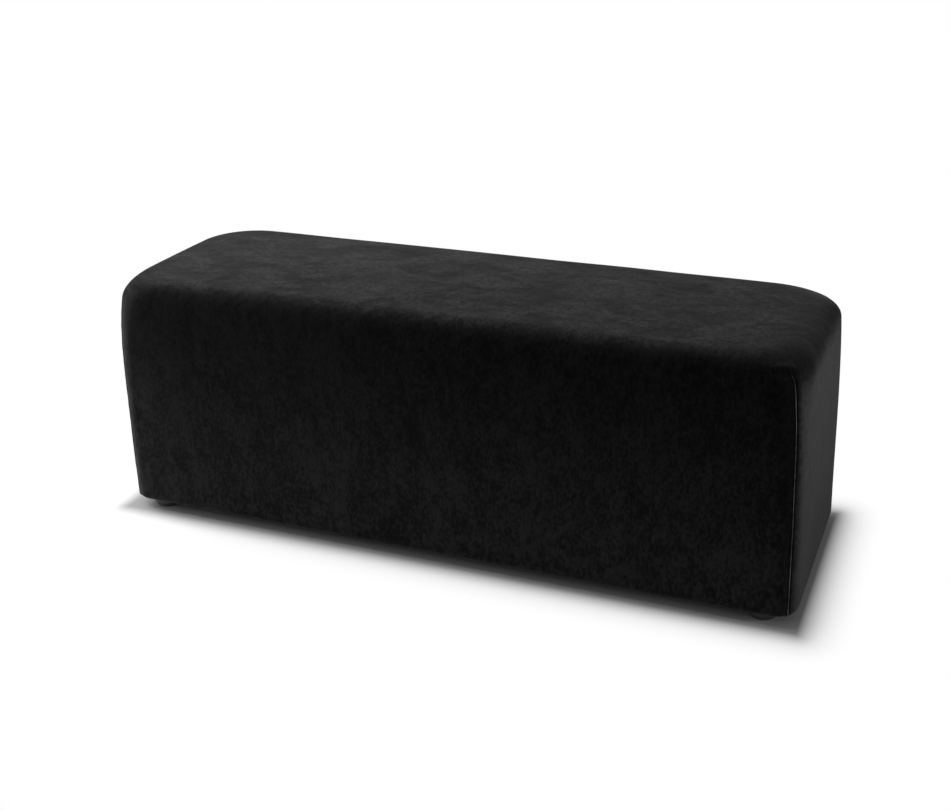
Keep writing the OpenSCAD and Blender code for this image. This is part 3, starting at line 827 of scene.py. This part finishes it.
# Camera at the photograph's angle
view = {
    "azimuth": 21.16, "elevation": 19.26, "roll": -0.98,  # degrees
    "distance": 2.25456, "target": (0.12192, 0, 0.455),  # metres
    "focal": 1318.8, "picture": (950, 810),  # pixels
    "axis": (535, 285),  # where the optical axis meets the picture, in pixels from its upper left corner
    "sensor": 36.0, "clip": (0.1, 100),
}


def makeCamera():
    azimuth, elevation, roll = (math.radians(view[k]) for k in ("azimuth", "elevation", "roll"))
    back = Vector((math.sin(azimuth) * math.cos(elevation), -math.cos(azimuth) * math.cos(elevation),
                   math.sin(elevation)))
    right = Vector((0, 0, 1)).cross(back).normalized()
    up = back.cross(right)
    right, up = (math.cos(roll) * right + math.sin(roll) * up, math.cos(roll) * up - math.sin(roll) * right)
    data = bpy.data.cameras.new("camera")
    data.sensor_width = view["sensor"]
    wide, high = view["picture"]
    data.lens = view["focal"] / wide * view["sensor"]
    data.shift_x = (wide / 2 - view["axis"][0]) / wide
    data.shift_y = (view["axis"][1] - high / 2) / wide
    data.clip_start, data.clip_end = view["clip"]
    camera = bpy.data.objects.new("camera", data)
    bpy.context.scene.collection.objects.link(camera)
    turn = Matrix((right, up, back)).transposed().to_4x4()
    camera.matrix_world = Matrix.Translation(Vector(view["target"]) + back * view["distance"]) @ turn
    bpy.context.scene.camera = camera


makeCamera()


# Studio: white floor and surroundings, soft lamps on the left and above, and a low one on the right
studio = {
    # the seen floor's darker tone under the bench is a painted shadow, which fades into the full floor over
    # the first distance below
    "floorSize": 30.0, "floorTone": 0.80, "floorSeen": 1.2, "floorShadow": 0.4,
    "shadeTo": 50 * mm, "whiteTo": 90 * mm,  # how far past the bench the seen floor is full and plain white
    "worldLight": 0.2,
    "aim": (0, 0, 0.25),
    "lamps": [
        {"place": (-1.2, 0.0, 2.2), "size": 2.0, "power": 25.0},
        {"place": (-2.4, 0.0, 1.4), "size": 1.4, "power": 50.0},
        {"place": (-2.6, -1.8, 1.6), "size": 1.6, "power": 15.0},
        {"place": (2.6, 0.3, 0.3), "size": 0.5, "power": 15.0},
    ],
}


def makeFloor():
    # white paint where the camera sees it, with a painted shadow under the bench, and plain white a little
    # way off
    half = studio["floorSize"] / 2
    mesh = bpy.data.meshes.new("studioFloor")
    corners = [(-half, -half, 0), (half, -half, 0), (half, half, 0), (-half, half, 0)]
    mesh.from_pydata(corners, [], [(0, 1, 2, 3)])
    material, start, place = newFinish("floorPaint")
    seen = start.node("LightPath", {}, {}, "Is Camera Ray")
    past = place.node("VectorMath", {"operation": "ABSOLUTE"}, {0: place})
    past = past.node("VectorMath", {"operation": "SUBTRACT"}, {0: past, 1: (halfL, halfD, 0)})
    past = past.node("VectorMath", {"operation": "MAXIMUM"}, {0: past, 1: (0, 0, 0)})
    away = past.node("VectorMath", {"operation": "LENGTH"}, {0: past}, "Value")
    plain, under, bright = ((studio[k],) * 3 for k in ("floorTone", "floorShadow", "floorSeen"))
    # a painted shadow under the bench, fading out past its edge
    paint = mixed(ramped(away, 0, studio["shadeTo"]), under, bright)
    paint = start.node("BsdfDiffuse", {}, {"Color": mixed(seen, plain, paint)})
    white = start.node("Emission", {}, {"Color": (1, 1, 1, 1), "Strength": 1.0})
    far = 1 - (1 - away / studio["whiteTo"]).limited() ** 2
    surface = start.node("MixShader", {}, {0: far * seen, 1: paint, 2: white})
    start.node("OutputMaterial", {}, {"Surface": surface})
    linked("studioFloor", mesh, material)


def makeWorld():
    # full white where it is seen or mirrored, weaker as a light
    world = bpy.data.worlds.new("studioWorld")
    world.use_nodes = True
    world.node_tree.nodes.clear()
    bpy.context.scene.world = world
    start = Wire(world.node_tree)
    seen = start.node("LightPath", {}, {}, "Is Camera Ray")
    glossy = start.node("LightPath", {}, {}, "Is Glossy Ray")
    clear = start.node("LightPath", {}, {}, "Is Transmission Ray")
    direct = (seen + glossy + clear).limited()
    strength = direct * (1 - studio["worldLight"]) + studio["worldLight"]
    light = start.node("Background", {}, {"Color": (1, 1, 1, 1), "Strength": strength})
    start.node("OutputWorld", {}, {"Surface": light})


def makeLamps():
    for number, settings in enumerate(studio["lamps"]):
        data = bpy.data.lights.new(f"softLamp{number}", "AREA")
        data.shape, data.size, data.energy = "DISK", settings["size"], settings["power"]
        lamp = bpy.data.objects.new(data.name, data)
        place = Vector(settings["place"])
        turn = (place - Vector(studio["aim"])).to_track_quat("Z", "Y").to_matrix().to_4x4()
        lamp.matrix_world = Matrix.Translation(place) @ turn
        bpy.context.scene.collection.objects.link(lamp)


makeFloor()
makeWorld()
makeLamps()
bpy.context.scene.view_settings.view_transform = "Standard"
print("camera and studio made")
